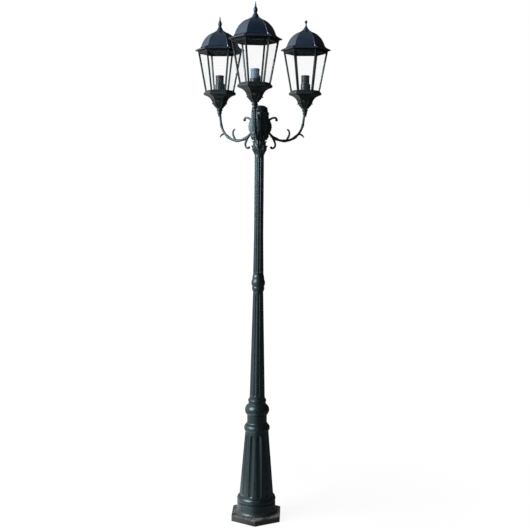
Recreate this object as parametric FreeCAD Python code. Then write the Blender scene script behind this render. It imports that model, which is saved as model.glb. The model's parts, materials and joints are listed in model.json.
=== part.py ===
import FreeCAD, Part
import math
import os

# A triple head garden lamp post: a hexagonal foot, a fluted pedestal, a two-stage fluted shaft and a hub that
# carries three scrolled arms, each with a six-sided lantern. Millimetres, +Z up. The origin is the centre of the
# foot's underside. Azimuths are counted from -Y towards +X, and the front arm points along -Y.
#
# Driving dimensions. Heights are stacked from the foot upwards.

# Foot: a hexagonal casting, open underneath
foot_corner_r = 128.0
foot_band_h = 27.5
foot_flare_h = 17.5
foot_wall = 7.0
foot_web_t = 6.0
foot_cable_hole_r = 56.0
foot_yaw = 3.0
anchor_circle_r = 113.0
anchor_count = 3
anchor_hole_r = 4.5

# Pedestal: drum, base ring, fluted skirt and top ring, in one casting
drum_r = 88.5
drum_h = 32.0
base_ring_h = 28.0
base_ring_bulge = 0.8
skirt_foot_r = 78.4
skirt_top_r = 53.4
skirt_h = 305.0
pedestal_wall = 9.5
top_ring_r = 59.3
top_ring_h = 30.0
bulkhead_t = 8.0

# Neck: turned casting between pedestal and lower shaft
neck_r = 45.3
neck_plain_h = 45.0
neck_bulge_r = 56.0
neck_bulge_h = 49.0
neck_waist_r = 39.9
neck_waist_h = 13.0
neck_bead_r = 42.0
neck_bead_h = 13.0
neck_lip_h = 6.0
neck_wall = 8.0

# Shafts: fluted tubes with a closed end plate at each joint
lower_shaft_h = 490.0
lower_shaft_foot_r = 34.9
lower_shaft_top_r = 23.4
upper_shaft_h = 540.0
upper_shaft_foot_r = 24.0
upper_shaft_r = 20.8
upper_taper_h = 175.0
shaft_wall = 5.2
flute_count = 12
flute_margin = 14.0
shaft_flute_depth = 2.4
skirt_flute_depth = 5.0
skirt_flute_margin = 22.0
flute_land = 0.22

# Coupling: ball and rings between the shafts
coupling_lower_ring_r = 28.4
coupling_lower_ring_h = 23.0
coupling_ball_r = 31.4
coupling_ball_h = 33.0
coupling_upper_ring_r = 27.0
coupling_upper_ring_h = 20.0
coupling_groove_depth = 4.4

# Capital: leaf cup under the hub
capital_h = 64.0
capital_foot_r = 21.6
capital_belly_r = 28.6
capital_top_r = 25.6
leaf_count = 8
leaf_tip_r = 31.6

# Hub: ribbed column with three flat pads for the arms
hub_r = 33.0
hub_h = 140.0
hub_wall = 6.0
hub_floor_t = 9.0
hub_shoulder_h = 16.0
hub_pad_reach = 34.5
hub_rib_r = 2.8
hub_band_r = 36.5
hub_band_h = 6.0
hub_lip_h = 4.0
hub_cap_rise = 14.0
hub_cap_button_r = 6.0
hub_cap_spigot_h = 4.0

# Arms: each an arc in its own upright plane, with scrolls
arm_azimuths = {"front": 0.0, "left": -120.0, "right": 120.0}
arm_reach = 226.7
arm_tube_r = 5.5
arm_bore_r = 3.0
arm_arc_r = 99.0
arm_arc_centre_reach = 121.0
arm_arc_centre_rise = 100.0
arm_root_angle = 225.0
arm_end_lean = 8.0
arm_seat_rise = 137.0
arm_seat_h = 10.0
arm_seat_r = 9.5
arm_plate_w = 24.0
arm_plate_t = 6.0
arm_plate_low = 12.0
arm_plate_top = 126.0
arm_leaf_bulge = 16.5
arm_leaf_low = 26.0
arm_leaf_top = 98.0
arm_leaf_w = 18.0
arm_rib_groove_r = 1.9
arm_rib_pitch = 7.4
arm_bolt_r = 3.0
arm_bolt_edge = 8.0
arm_bolt_head_h = 4.0
arm_bolt_head_r = 5.0
arm_bolt_grip = 7.0

# Lanterns: stacked from the arm's seat upwards; radii of six-sided forms are to their corners
lantern_yaws = {"front": 11.3, "left": 1.3, "right": 0.5}
collar_r = 13.0
collar_h = 13.0
bell_h = 59.0
bell_rim_r = 70.0
cup_wall = 3.2
tray_corner_r = 74.7
tray_h = 17.0
tray_edge_h = 5.0
tray_seat_r = 68.0
tray_lead_hole_r = 8.0
tray_top_t = 5.0
cage_foot_r = 66.0
cage_top_r = 100.0
cage_h = 182.0
cage_wall = 5.0
cage_bar_w = 11.0
cage_foot_rail_h = 4.0
fascia_h = 11.0
pane_t = 3.0
pane_side_gap = 1.2
eave_r = 112.7
eave_edge_h = 4.0
roof_dome_h = 85.0
roof_neck_r = 21.0
roof_wall = 3.5
roof_ledge_r = 92.0
roof_screw_azimuth = 30.0
roof_screw_reach = 90.0
roof_screw_r = 2.0
roof_screw_head_r = 4.2
roof_screw_head_h = 2.6
roof_boss_r = 5.2
roof_boss_h = 14.0
screw_lug_h = 6.0
finial_h = 67.0
short_finial_h = 48.0
finial_stud_r = 3.0
finial_stud_h = 10.0

# Lamp holder: screw-base holder for a 27 mm lamp cap
holder_base_r = 21.0
holder_base_heights = {"front": 23.0, "left": 33.0, "right": 33.0}
holder_body_r = 18.0
holder_body_h = 40.0
holder_floor_t = 7.0
socket_thread_r = 13.3
socket_shell_t = 1.0
socket_shell_h = 28.0
holder_lead_hole_r = 4.0
holder_fixing_r = 1.7
holder_fixing_reach = 14.0
holder_fixing_head_r = 3.0
holder_fixing_head_h = 2.4
holder_fixing_seat_h = 10.0
contact_h = 1.2
lead_end_rise = 14.0

# Fixings between the castings
joint_nipple_r = 8.0
joint_nipple_bore_r = 5.6
joint_nut_h = 8.0
joint_nut_flat_r = 9.6
joint_thread_end = 3.0
lantern_nipple_r = 5.0
lantern_nipple_bore_r = 3.5
lantern_nut_h = 6.0
lantern_nut_flat_r = 7.2
lantern_nipple_grip = 8.0

# Wiring
post_cable_r = 3.5
lead_r = 1.8
lead_circle_r = 10.0
lead_bend_r = 24.0
splice_r = 15.0
splice_h = 18.0
splice_height = 96.0
block_w = 34.0
block_d = 16.0
block_h = 22.0
block_height = 96.0
bracket_w = 24.0
bracket_t = 2.5
bracket_foot = 16.0
bracket_reach = 46.0
cable_bend_r = 300.0
small_screw_r = 2.0
small_head_r = 3.8
small_head_h = 2.4

# Clearances
fit_gap = 0.1
swivel_gap = 0.1
seat_gap = 0.3

# Heights that follow from the sizes above
flat = math.cos(math.radians(30.0))
z_pedestal = foot_band_h + foot_flare_h
z_skirt = z_pedestal + drum_h + base_ring_h
z_top_ring = z_skirt + skirt_h
z_neck = z_top_ring + top_ring_h
z_lower = z_neck + neck_plain_h + neck_bulge_h + neck_waist_h + neck_bead_h + neck_lip_h
z_coupling = z_lower + lower_shaft_h
z_upper = z_coupling + coupling_lower_ring_h + coupling_ball_h + coupling_upper_ring_h
z_capital = z_upper + upper_shaft_h
z_hub = z_capital + capital_h
z_hub_top = z_hub + hub_h
z_splice = z_hub + splice_height
z_seat = z_hub + arm_seat_rise
z_cup_top = z_seat + collar_h + bell_h
z_cage = z_cup_top + tray_h
z_roof = z_cage + cage_h
z_dome = z_roof + eave_edge_h
z_finial = z_dome + roof_dome_h
z_block = z_pedestal + block_height
arm_face = hub_pad_reach + arm_plate_t
arc_centre_z = z_hub + arm_arc_centre_rise
Z_AXIS = FreeCAD.Vector(0, 0, 1)
ORIGIN = FreeCAD.Vector(0, 0, 0)


def at(x, y, z):
    """A point."""
    return FreeCAD.Vector(x, y, z)


def turn(shape, azimuth):
    """A copy turned about the post's axis."""
    copy = shape.copy()
    copy.rotate(ORIGIN, Z_AXIS, azimuth)
    return copy


def moved(shape, x, y, z=0.0):
    """A copy moved by the given steps."""
    copy = shape.copy()
    copy.translate(at(x, y, z))
    return copy


def joined(first, others):
    """One solid out of pieces that run into each other, with leftover seams removed."""
    return first.fuse(others).removeSplitter()


def outline(start, steps, across=1.0):
    """Edges in the XZ plane from (radius, height) points, with radii times across.

    A step is ("line", p, ...), ("arc", middle, end) or ("curve", p, ...).
    """
    here = at(start[0] * across, 0, start[1])
    edges = []
    for kind, *points in steps:
        ends = [at(r * across, 0, z) for r, z in points]
        if kind == "line":
            for end in ends:
                if (end - here).Length > 1e-6:
                    edges.append(Part.LineSegment(here, end).toShape())
                here = end
        elif kind == "arc":
            edges.append(Part.Arc(here, ends[0], ends[1]).toShape())
            here = ends[1]
        else:
            curve = Part.BSplineCurve()
            curve.interpolate([here] + ends)
            edges.append(curve.toShape())
            here = ends[-1]
    return edges


def turned(start, steps):
    """A solid of revolution about the Z axis from a (radius, height) outline that closes itself."""
    edges = outline(start, steps)
    first = edges[0].Vertexes[0].Point
    last = edges[-1].Vertexes[-1].Point
    if (first - last).Length > 1e-6:
        edges.append(Part.LineSegment(last, first).toShape())
    face = Part.Face(Part.Wire(Part.__sortEdges__(edges)))
    return face.revolve(ORIGIN, Z_AXIS, 360)


def six_sided(start, steps):
    """A solid with a hexagonal section at each height: flat sides at azimuth 0, 60, 120, ...

    The outline gives corner radius and height, and starts and ends on the axis.
    """
    half = outline(start, steps, flat)
    mirror = [edge.mirror(ORIGIN, at(1, 0, 0)) for edge in half]
    wire = Part.Wire(Part.__sortEdges__(half + mirror))
    span = 2 * max(vertex.Point.x for edge in half for vertex in edge.Vertexes)
    slab = moved(Part.Face(wire).extrude(at(0, 2 * span, 0)), 0, -span)
    slab = turn(slab, 90)
    return slab.common(turn(slab, 60)).common(turn(slab, 120))


def cylinder(r, low, high, x=0.0, y=0.0):
    """An upright cylinder between two heights."""
    return Part.makeCylinder(r, high - low, at(x, y, low))


def tube(outer, inner, low, high, x=0.0, y=0.0):
    """An upright tube between two heights."""
    return cylinder(outer, low, high, x, y).cut(cylinder(inner, low - 1, high + 1, x, y))


def hexagon_prism(flat_r, low, high, x=0.0, y=0.0):
    """An upright hexagonal prism of the given distance from axis to flat."""
    corner = flat_r / flat
    points = [
        at(x + corner * math.cos(math.radians(60 * i)), y + corner * math.sin(math.radians(60 * i)), low)
        for i in range(7)
    ]
    return Part.Face(Part.makePolygon(points)).extrude(at(0, 0, high - low))


def box(x, y, z):
    """A box from three (low, high) pairs."""
    return Part.makeBox(x[1] - x[0], y[1] - y[0], z[1] - z[0], at(x[0], y[0], z[0]))


def plane_path(points, bends):
    """A wire in the XZ plane through straight runs joined by tangent arcs of the given radii."""
    corners = [at(u, 0, z) for u, z in points]
    edges = []
    here = corners[0]
    for before, corner, after, radius in zip(corners, corners[1:], corners[2:], bends):
        back = (before - corner).normalize()
        on = (after - corner).normalize()
        half_turn = back.getAngle(on) / 2
        trim = radius / math.tan(half_turn)
        start = corner + back * trim
        end = corner + on * trim
        middle_way = (back + on).normalize()
        centre = corner + middle_way * (radius / math.sin(half_turn))
        middle = centre - middle_way * radius
        edges.append(Part.LineSegment(here, start).toShape())
        edges.append(Part.Arc(start, middle, end).toShape())
        here = end
    edges.append(Part.LineSegment(here, corners[-1]).toShape())
    return Part.Wire(edges)


def swept(path, r):
    """A round bar along a path."""
    first = path.OrderedEdges[0]
    point = first.valueAt(first.FirstParameter)
    way = first.tangentAt(first.FirstParameter)
    ring = Part.Wire(Part.makeCircle(r, point, way))
    return path.makePipeShell([ring], True, False)


def scroll(points, radii):
    """A tapering round bar in the XZ plane through (reach, height) points, rounded at its tip."""
    curve = Part.BSplineCurve()
    curve.interpolate([at(u, 0, z) for u, z in points])
    rings = []
    for (u, z), r in zip(points, radii):
        place = curve.parameter(at(u, 0, z))
        rings.append(Part.Wire(Part.makeCircle(r, curve.value(place), curve.tangent(place)[0])))
    bar = Part.makeLoft(rings, True)
    tip_u, tip_z = points[-1]
    return bar.fuse(Part.makeSphere(radii[-1] * 1.12, at(tip_u, 0, tip_z)))


def flute_cutters(line, depth, margin):
    """Round-ended grooves along a (radius, height) line on a shaft's surface, one for each flute."""
    low_r, low_z = line[0]
    high_r, high_z = line[-1]
    stations = [(low_r, low_z + margin)] + list(line[1:-1]) + [(high_r, high_z - margin)]
    rods = []
    bars = []
    for r, z in stations:
        width = math.pi * r / flute_count * (1 - flute_land)
        bar_r = (width * width + depth * depth) / (2 * depth)
        rods.append((at(r + bar_r - depth, 0, z), bar_r))
    for (low, low_bar), (high, high_bar) in zip(rods, rods[1:]):
        way = high - low
        bars.append(Part.makeCone(low_bar, high_bar, way.Length, low, way))
    balls = [Part.makeSphere(bar_r, place) for place, bar_r in rods]
    cutter = bars[0].fuse(bars[1:] + balls)
    return [turn(cutter, 360.0 / flute_count * (i + 0.5)) for i in range(flute_count)]


def foot():
    """Hexagonal foot with a concave flare up to the drum, open underneath, with anchor holes."""
    band = six_sided((0, 0), [("line", (foot_corner_r, 0), (foot_corner_r, foot_band_h), (0, foot_band_h))])
    flare_r = drum_r + foot_flare_h
    middle = foot_flare_h * (1 - math.sqrt(0.5))
    flare = turned(
        (0, foot_band_h - 1),
        [
            ("line", (flare_r, foot_band_h - 1), (flare_r, foot_band_h)),
            ("arc", (drum_r + middle, foot_band_h + middle), (drum_r, z_pedestal)),
            ("line", (0, z_pedestal)),
        ],
    )
    inner_corner = foot_corner_r - foot_wall / flat
    hollow = six_sided(
        (0, -1),
        [("line", (inner_corner, -1), (inner_corner, foot_band_h - foot_web_t), (0, foot_band_h - foot_web_t))],
    )
    shape = joined(band, [flare]).cut([hollow, cylinder(foot_cable_hole_r, -1, z_pedestal + 1)])
    for i in range(anchor_count):
        boss = cylinder(anchor_hole_r + foot_wall, 0, foot_band_h, 0, -anchor_circle_r)
        boss = boss.common(band)
        shape = shape.fuse(turn(turn(boss, 30), 360.0 / anchor_count * i))
    shape = shape.removeSplitter()
    for i in range(anchor_count):
        hole = cylinder(anchor_hole_r, -1, z_pedestal, 0, -anchor_circle_r)
        shape = shape.cut(turn(hole, 30 + 360.0 / anchor_count * i))
    return turn(shape, foot_yaw - 30)


def pedestal():
    """Drum, base ring, fluted skirt and top ring in one hollow casting."""
    z_ring = z_pedestal + drum_h
    ring_r = drum_r + base_ring_bulge
    skirt_inner = skirt_top_r - pedestal_wall
    body = turned(
        (0, z_pedestal),
        [
            ("line", (drum_r, z_pedestal), (drum_r, z_ring - 2), (drum_r - 3.5, z_ring)),
            ("arc", (ring_r, z_ring + base_ring_h / 2), (drum_r - 5, z_skirt - 1)),
            ("line", (skirt_foot_r, z_skirt), (skirt_top_r, z_top_ring)),
            ("arc", (top_ring_r, z_top_ring + top_ring_h / 2), (skirt_top_r - 2, z_neck)),
            ("line", (0, z_neck)),
        ],
    )
    hollow = turned(
        (0, z_pedestal - 1),
        [
            ("line", (drum_r - pedestal_wall, z_pedestal - 1), (drum_r - pedestal_wall, z_ring)),
            ("line", (skirt_foot_r - pedestal_wall, z_skirt), (skirt_inner, z_top_ring)),
            ("line", (skirt_inner, z_neck - bulkhead_t), (0, z_neck - bulkhead_t)),
        ],
    )
    line = [(skirt_foot_r, z_skirt), (skirt_top_r, z_top_ring)]
    shape = body.cut(hollow).cut(flute_cutters(line, skirt_flute_depth, skirt_flute_margin))
    return shape.cut(cylinder(joint_nipple_r + fit_gap, z_top_ring, z_neck + 1))


def neck():
    """Turned neck with a large bulge, a waist and a bead, hollow."""
    z_bulge = z_neck + neck_plain_h
    z_waist = z_bulge + neck_bulge_h
    z_bead = z_waist + neck_waist_h
    z_lip = z_bead + neck_bead_h
    lip_r = lower_shaft_foot_r + 1.5
    body = turned(
        (0, z_neck),
        [
            ("line", (neck_r + 3, z_neck), (neck_r + 3, z_neck + 6)),
            ("arc", (neck_r + 0.8, z_neck + 8), (neck_r, z_neck + 12)),
            ("line", (neck_r, z_bulge)),
            ("arc", (neck_bulge_r, z_bulge + neck_bulge_h / 2), (neck_waist_r + 2, z_waist)),
            ("line", (neck_waist_r, z_waist + 2), (neck_waist_r, z_bead)),
            ("arc", (neck_bead_r, z_bead + neck_bead_h / 2), (lip_r, z_lip)),
            ("line", (lip_r, z_lower), (0, z_lower)),
        ],
    )
    inner = neck_waist_r - neck_wall
    hollow = cylinder(inner, z_neck + bulkhead_t, z_lower - bulkhead_t)
    return body.cut([hollow, cylinder(joint_nipple_r + fit_gap, z_neck - 1, z_lower + 1)])


def fluted_shaft(line):
    """A tapered fluted tube along a (radius, height) line, with end plates bored for the nipples."""
    low_z = line[0][1]
    high_z = line[-1][1]
    body = turned((0, low_z), [("line", *line, (0, high_z))])
    inner = [(r - shaft_wall, z) for r, z in line]
    inner[0] = (inner[0][0], low_z + bulkhead_t)
    inner[-1] = (inner[-1][0], high_z - bulkhead_t)
    hollow = turned((0, low_z + bulkhead_t), [("line", *inner, (0, high_z - bulkhead_t))])
    shape = body.cut(hollow).cut(flute_cutters(line, shaft_flute_depth, flute_margin))
    return shape.cut(cylinder(joint_nipple_r + fit_gap, low_z - 1, high_z + 1))


def lower_shaft():
    """Lower, tapering stage of the shaft."""
    return fluted_shaft([(lower_shaft_foot_r, z_lower), (lower_shaft_top_r, z_coupling)])


def upper_shaft():
    """Upper stage: a short taper, then a nearly straight tube."""
    waist_r = upper_shaft_r + (upper_shaft_foot_r - upper_shaft_r) * 0.12
    line = [(upper_shaft_foot_r, z_upper), (waist_r, z_upper + upper_taper_h), (upper_shaft_r, z_capital)]
    return fluted_shaft(line)


def coupling():
    """Ring, ball and ring that join the two stages of the shaft."""
    z_ball = z_coupling + coupling_lower_ring_h
    z_ring = z_ball + coupling_ball_h
    groove_r = coupling_ball_r - coupling_groove_depth
    return turned(
        (joint_nipple_r + fit_gap, z_coupling),
        [
            ("line", (lower_shaft_top_r + 0.6, z_coupling)),
            ("arc", (coupling_lower_ring_r, z_coupling + coupling_lower_ring_h * 0.6), (groove_r, z_ball)),
            ("arc", (coupling_ball_r, z_ball + coupling_ball_h / 2), (groove_r, z_ring)),
            ("arc", (coupling_upper_ring_r, z_ring + coupling_upper_ring_h * 0.36),
             (upper_shaft_foot_r + 0.5, z_upper)),
            ("line", (joint_nipple_r + fit_gap, z_upper)),
        ],
    )


def capital():
    """Cup of leaves between the shaft and the hub."""
    cup = turned(
        (0, z_capital),
        [
            ("line", (capital_foot_r, z_capital), (capital_foot_r, z_capital + 5)),
            ("curve", (capital_belly_r * 0.92, z_capital + capital_h * 0.28),
             (capital_belly_r, z_capital + capital_h * 0.50), (capital_top_r, z_hub - 6)),
            ("line", (capital_top_r, z_hub), (0, z_hub)),
        ],
    )
    leaf = scroll(
        [(capital_foot_r - 1.5, z_capital + 6), (capital_belly_r - 3.2, z_capital + capital_h * 0.26),
         (capital_belly_r, z_capital + capital_h * 0.46), (leaf_tip_r - 1.5, z_capital + capital_h * 0.60)],
        [2.2, 4.4, 4.6, 2.4],
    )
    leaves = [turn(leaf, 360.0 / leaf_count * i) for i in range(leaf_count)]
    shape = cup.fuse(leaves)
    return shape.cut(cylinder(joint_nipple_r + fit_gap, z_capital - 1, z_hub + 1))


def arm_hub():
    """Ribbed hollow column with three flat pads, drilled for the arm bolts and leads."""
    z_band = z_hub_top - hub_lip_h - hub_band_h
    body = turned(
        (0, z_hub),
        [
            ("line", (capital_top_r + 1.5, z_hub)),
            ("arc", (hub_r - 3.0, z_hub + hub_shoulder_h * 0.42), (hub_r, z_hub + hub_shoulder_h)),
            ("line", (hub_r, z_band - 3), (hub_band_r, z_band), (hub_band_r, z_band + hub_band_h)),
            ("line", (hub_r + 1, z_band + hub_band_h), (hub_r + 1, z_hub_top), (0, z_hub_top)),
        ],
    )
    half_w = arm_plate_w / 2
    pad = box((0, hub_pad_reach), (-half_w, half_w), (z_hub + arm_plate_low, z_hub + arm_plate_top))
    rib = cylinder(hub_rib_r, z_hub + hub_shoulder_h + 4, z_band - 6, hub_r, 0)
    extras = [turn(pad, azimuth - 90) for azimuth in arm_azimuths.values()]
    for azimuth in arm_azimuths.values():
        extras += [turn(rib, azimuth - 90 + 60 + offset) for offset in (-18, 0, 18)]
    shape = joined(body, extras).cut(cylinder(hub_r - hub_wall, z_hub + hub_floor_t, z_hub_top + 1))
    shape = shape.cut(cylinder(joint_nipple_r + fit_gap, z_hub - 1, z_hub_top))
    drills = []
    for azimuth in arm_azimuths.values():
        drills += [turn(hole, azimuth - 90) for hole in bolt_bars(arm_bolt_r + fit_gap, 0, hub_pad_reach + 1)]
        drills.append(turn(lead_passage(), azimuth - 90))
    return shape.cut(drills)


def hub_cap():
    """Domed cap that closes the hub, with a spigot into it."""
    base_r = hub_r + 2.5
    return turned(
        (0, z_hub_top - hub_cap_spigot_h),
        [
            ("line", (hub_r - hub_wall - fit_gap, z_hub_top - hub_cap_spigot_h)),
            ("line", (hub_r - hub_wall - fit_gap, z_hub_top), (base_r, z_hub_top), (base_r, z_hub_top + 2.5)),
            ("arc", (base_r * 0.72, z_hub_top + hub_cap_rise * 0.78),
             (hub_cap_button_r, z_hub_top + hub_cap_rise)),
            ("line", (0, z_hub_top + hub_cap_rise)),
        ],
    )


def arm_points():
    """Corner points of the arm's centreline before and after its arc: root, arc start, arc end, seat."""
    centre = at(arm_arc_centre_reach, 0, arc_centre_z)
    root_way = math.radians(arm_root_angle)
    end_way = math.radians(-arm_end_lean)
    start = centre + at(math.cos(root_way), 0, math.sin(root_way)) * arm_arc_r
    end = centre + at(math.cos(end_way), 0, math.sin(end_way)) * arm_arc_r
    inwards = at(math.sin(root_way), 0, -math.cos(root_way))
    upwards = at(math.sin(-end_way), 0, math.cos(end_way))
    return start, end, inwards, upwards


def arm_line(root_reach, top_z):
    """The arm's centreline: a straight root, the arc, and a straight end up to a height."""
    start, end, inwards, upwards = arm_points()
    root = start + inwards * ((start.x - root_reach) / -inwards.x)
    top = end + upwards * ((top_z - end.z) / upwards.z)
    low = at(arm_arc_centre_reach, 0, arc_centre_z - arm_arc_r)
    edges = [Part.LineSegment(root, start).toShape(), Part.Arc(start, low, end).toShape()]
    edges.append(Part.LineSegment(end, top).toShape())
    return Part.Wire(edges)


def lead_passage():
    """The slanting hole through the hub's wall for a lead, in line with the arm's root."""
    start, _, inwards, _ = arm_points()
    length = (start.x - lead_circle_r) / -inwards.x
    return Part.makeCylinder(arm_bore_r + fit_gap, length, start, inwards)


def bolt_heights():
    """The two heights of an arm's bolts."""
    return (z_hub + arm_plate_low + arm_bolt_edge, z_hub + arm_plate_top - arm_bolt_edge)


def bolt_bars(r, low_reach, high_reach):
    """Two level bars along +X at the arm bolts' places."""
    return [
        Part.makeCylinder(r, high_reach - low_reach, at(low_reach, 0, z), at(1, 0, 0)) for z in bolt_heights()
    ]


def arm():
    """One arm along +X: plate, ribbed leaf, hollow arc, scrolls and the lantern's seat."""
    half_w = arm_plate_w / 2
    plate = box(
        (hub_pad_reach, arm_face), (-half_w, half_w), (z_hub + arm_plate_low, z_hub + arm_plate_top)
    )
    plate = plate.makeFillet(3.0, [e for e in plate.Edges if abs(e.CenterOfMass.x - arm_face) < 0.1])
    leaf_mid = (arm_leaf_low + arm_leaf_top) / 2
    leaf_edge = outline(
        (arm_face - 2, z_hub + arm_leaf_low),
        [
            ("arc", (arm_face + arm_leaf_bulge, z_hub + leaf_mid), (arm_face - 2, z_hub + arm_leaf_top)),
            ("line", (arm_face - 2, z_hub + arm_leaf_low)),
        ],
    )
    leaf = Part.Face(Part.Wire(leaf_edge)).extrude(at(0, arm_leaf_w, 0))
    leaf = moved(leaf, 0, -arm_leaf_w / 2)
    grooves = []
    for i in range(-4, 5):
        z = z_hub + leaf_mid + i * arm_rib_pitch
        sag = arm_leaf_bulge * (1 - ((z - z_hub - leaf_mid) / (leaf_mid - arm_leaf_low)) ** 2)
        groove = Part.makeCylinder(arm_rib_groove_r, arm_leaf_w + 2, ORIGIN, at(0, 1, 0))
        grooves.append(moved(groove, arm_face + sag, -arm_leaf_w / 2 - 1, z))
    leaf = leaf.cut(grooves)
    seat_top = z_seat
    seat = cylinder(arm_seat_r, seat_top - arm_seat_h, seat_top, arm_reach)
    seat = seat.makeFillet(3.0, [e for e in seat.Edges if abs(e.CenterOfMass.z - seat_top + arm_seat_h) < 0.1])
    bar = swept(arm_line(hub_pad_reach + 1, seat_top - arm_seat_h / 2), arm_tube_r)
    shape = plate.fuse([leaf, bar, seat] + arm_scrolls())
    shape = shape.cut(swept(arm_line(hub_pad_reach - 2, seat_top + 3), arm_bore_r))
    nipple_hole = cylinder(lantern_nipple_r + fit_gap, seat_top - lantern_nipple_grip, seat_top + 9, arm_reach)
    hub_side = box((0, hub_pad_reach), (-half_w, half_w), (z_hub, seat_top))
    return shape.cut([nipple_hole, hub_side] + bolt_bars(arm_bolt_r + fit_gap, 0, arm_face + 9))


def arm_scrolls():
    """The four scrolls of an arm, placed from the arm's face and the arc."""
    start, _, _, _ = arm_points()
    face = arm_face
    low = arc_centre_z - arm_arc_r
    upper = scroll(
        [(face - 2, z_hub + 89), (face + 11, z_hub + 95), (face + 26, z_hub + 102), (face + 38, z_hub + 102),
         (face + 43, z_hub + 93)],
        [5.6, 5.2, 4.6, 4.8, 5.8],
    )
    lower = scroll(
        [(start.x + 6, start.z - 8), (start.x + 18, start.z - 23), (start.x + 25, start.z - 37),
         (start.x + 27, start.z - 52), (start.x + 19, start.z - 62), (start.x + 7, start.z - 61)],
        [6.0, 5.3, 4.8, 4.5, 4.5, 5.3],
    )
    mid = arm_arc_centre_reach
    inner = scroll(
        [(mid + 15, low + 3), (mid + 25, low + 22), (mid + 28, low + 36), (mid + 25, low + 46),
         (mid + 19, low + 51)],
        [5.2, 4.7, 4.2, 3.8, 3.4],
    )
    side = arm_arc_centre_reach + arm_arc_r * math.cos(math.radians(42))
    side_z = arc_centre_z - arm_arc_r * math.sin(math.radians(42))
    outer = scroll(
        [(side - 2, side_z + 2), (side + 13, side_z - 2), (side + 23, side_z - 8), (side + 27, side_z - 13)],
        [5.2, 4.4, 3.6, 2.6],
    )
    return [upper, lower, inner, outer]


def arm_bolts():
    """Two hexagon-headed bolts for each arm."""
    bolts = []
    inner = hub_r - hub_wall - arm_bolt_grip + 4
    for azimuth in arm_azimuths.values():
        for z in bolt_heights():
            shank = Part.makeCylinder(arm_bolt_r, arm_face - inner, at(inner, 0, z), at(1, 0, 0))
            head = hexagon_prism(arm_bolt_head_r * flat, 0, arm_bolt_head_h)
            head.rotate(ORIGIN, at(0, 1, 0), 90)
            bolts.append(turn(shank.fuse(moved(head, arm_face, 0, z)), azimuth - 90))
    return Part.makeCompound(bolts)


def arm_place(name):
    """The lantern axis of an arm as x and y."""
    way = math.radians(arm_azimuths[name] - 90)
    return arm_reach * math.cos(way), arm_reach * math.sin(way)


def on_arm(shape, name):
    """A lantern piece, made on the Z axis, turned by the lantern's yaw and moved onto its arm."""
    x, y = arm_place(name)
    return moved(turn(shape, lantern_yaws[name]), x, y)


def joint_nipples():
    """Threaded pipes that join the castings of the post: neck, coupling and capital."""
    spans = joint_spans()
    return {
        key: tube(joint_nipple_r, joint_nipple_bore_r, low, high) for key, (low, high) in spans.items()
    }


def joint_spans():
    """Lowest and highest point of each joining nipple."""
    over = joint_nut_h + joint_thread_end
    return {
        "neck": (z_neck - bulkhead_t - over, z_lower + bulkhead_t + over),
        "coupling": (z_coupling - bulkhead_t - over, z_upper + bulkhead_t + over),
        "capital": (z_capital - bulkhead_t - over, z_hub + hub_floor_t + over),
    }


def joint_locknuts():
    """A hexagon nut at each end of each joining nipple."""
    nuts = []
    for low, high in joint_spans().values():
        for bottom in (low + joint_thread_end, high - joint_thread_end - joint_nut_h):
            nut = hexagon_prism(joint_nut_flat_r, bottom, bottom + joint_nut_h)
            nuts.append(nut.cut(cylinder(joint_nipple_r + fit_gap, bottom - 1, bottom + joint_nut_h + 1)))
    return Part.makeCompound(nuts)


def nipple_top():
    """Top of the threaded tube that holds a lantern."""
    return z_seat + collar_h + lantern_nut_h + joint_thread_end


def lantern_nipples():
    """Threaded tubes on which the lanterns turn, fixed in the arms' seats."""
    made = []
    for name in arm_azimuths:
        x, y = arm_place(name)
        low = z_seat - lantern_nipple_grip
        made.append(tube(lantern_nipple_r, lantern_nipple_bore_r, low, nipple_top(), x, y))
    return Part.makeCompound(made)


def lantern_locknuts():
    """Nuts inside the cups that clamp the lanterns onto the arms' seats."""
    made = []
    low = z_seat + collar_h
    for name in arm_azimuths:
        x, y = arm_place(name)
        nut = hexagon_prism(lantern_nut_flat_r, low, low + lantern_nut_h, x, y)
        made.append(nut.cut(cylinder(lantern_nipple_r + fit_gap, low - 1, low + lantern_nut_h + 1, x, y)))
    return Part.makeCompound(made)


def bell_steps(inset, top_z):
    """The bell's curve from the collar up to its rim, drawn in by a wall's thickness."""
    low = z_seat + collar_h
    shares = [(0.22, 0.0), (0.28, 0.12), (0.38, 0.26), (0.46, 0.38), (0.51, 0.53), (0.58, 0.685), (0.67, 0.81)]
    shares += [(0.78, 0.90), (1.0, 1.0)]
    points = [(bell_rim_r * share - inset, low + bell_h * rise) for share, rise in shares]
    return [("line", points[0]), ("curve", *points[1:]), ("line", (points[-1][0], top_z), (0, top_z))]


def cup():
    """Six-sided bell with a round collar, bored for its nipple, open to the tray above."""
    low = z_seat + collar_h
    bell = six_sided((0, low), bell_steps(0, z_cup_top))
    inner = six_sided((0, low), bell_steps(cup_wall / flat, z_cup_top + 1))
    collar = turned(
        (0, z_seat),
        [
            ("line", (collar_r - 2, z_seat)),
            ("arc", (collar_r + 1, z_seat + collar_h * 0.3), (collar_r - 2, z_seat + collar_h * 0.6)),
            ("arc", (collar_r, z_seat + collar_h * 0.8), (collar_r - 1, low)),
            ("line", (0, low)),
        ],
    )
    shape = joined(bell.cut(inner), [collar])
    return shape.cut(cylinder(lantern_nipple_r + swivel_gap, z_seat - 1, low + 1))


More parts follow.
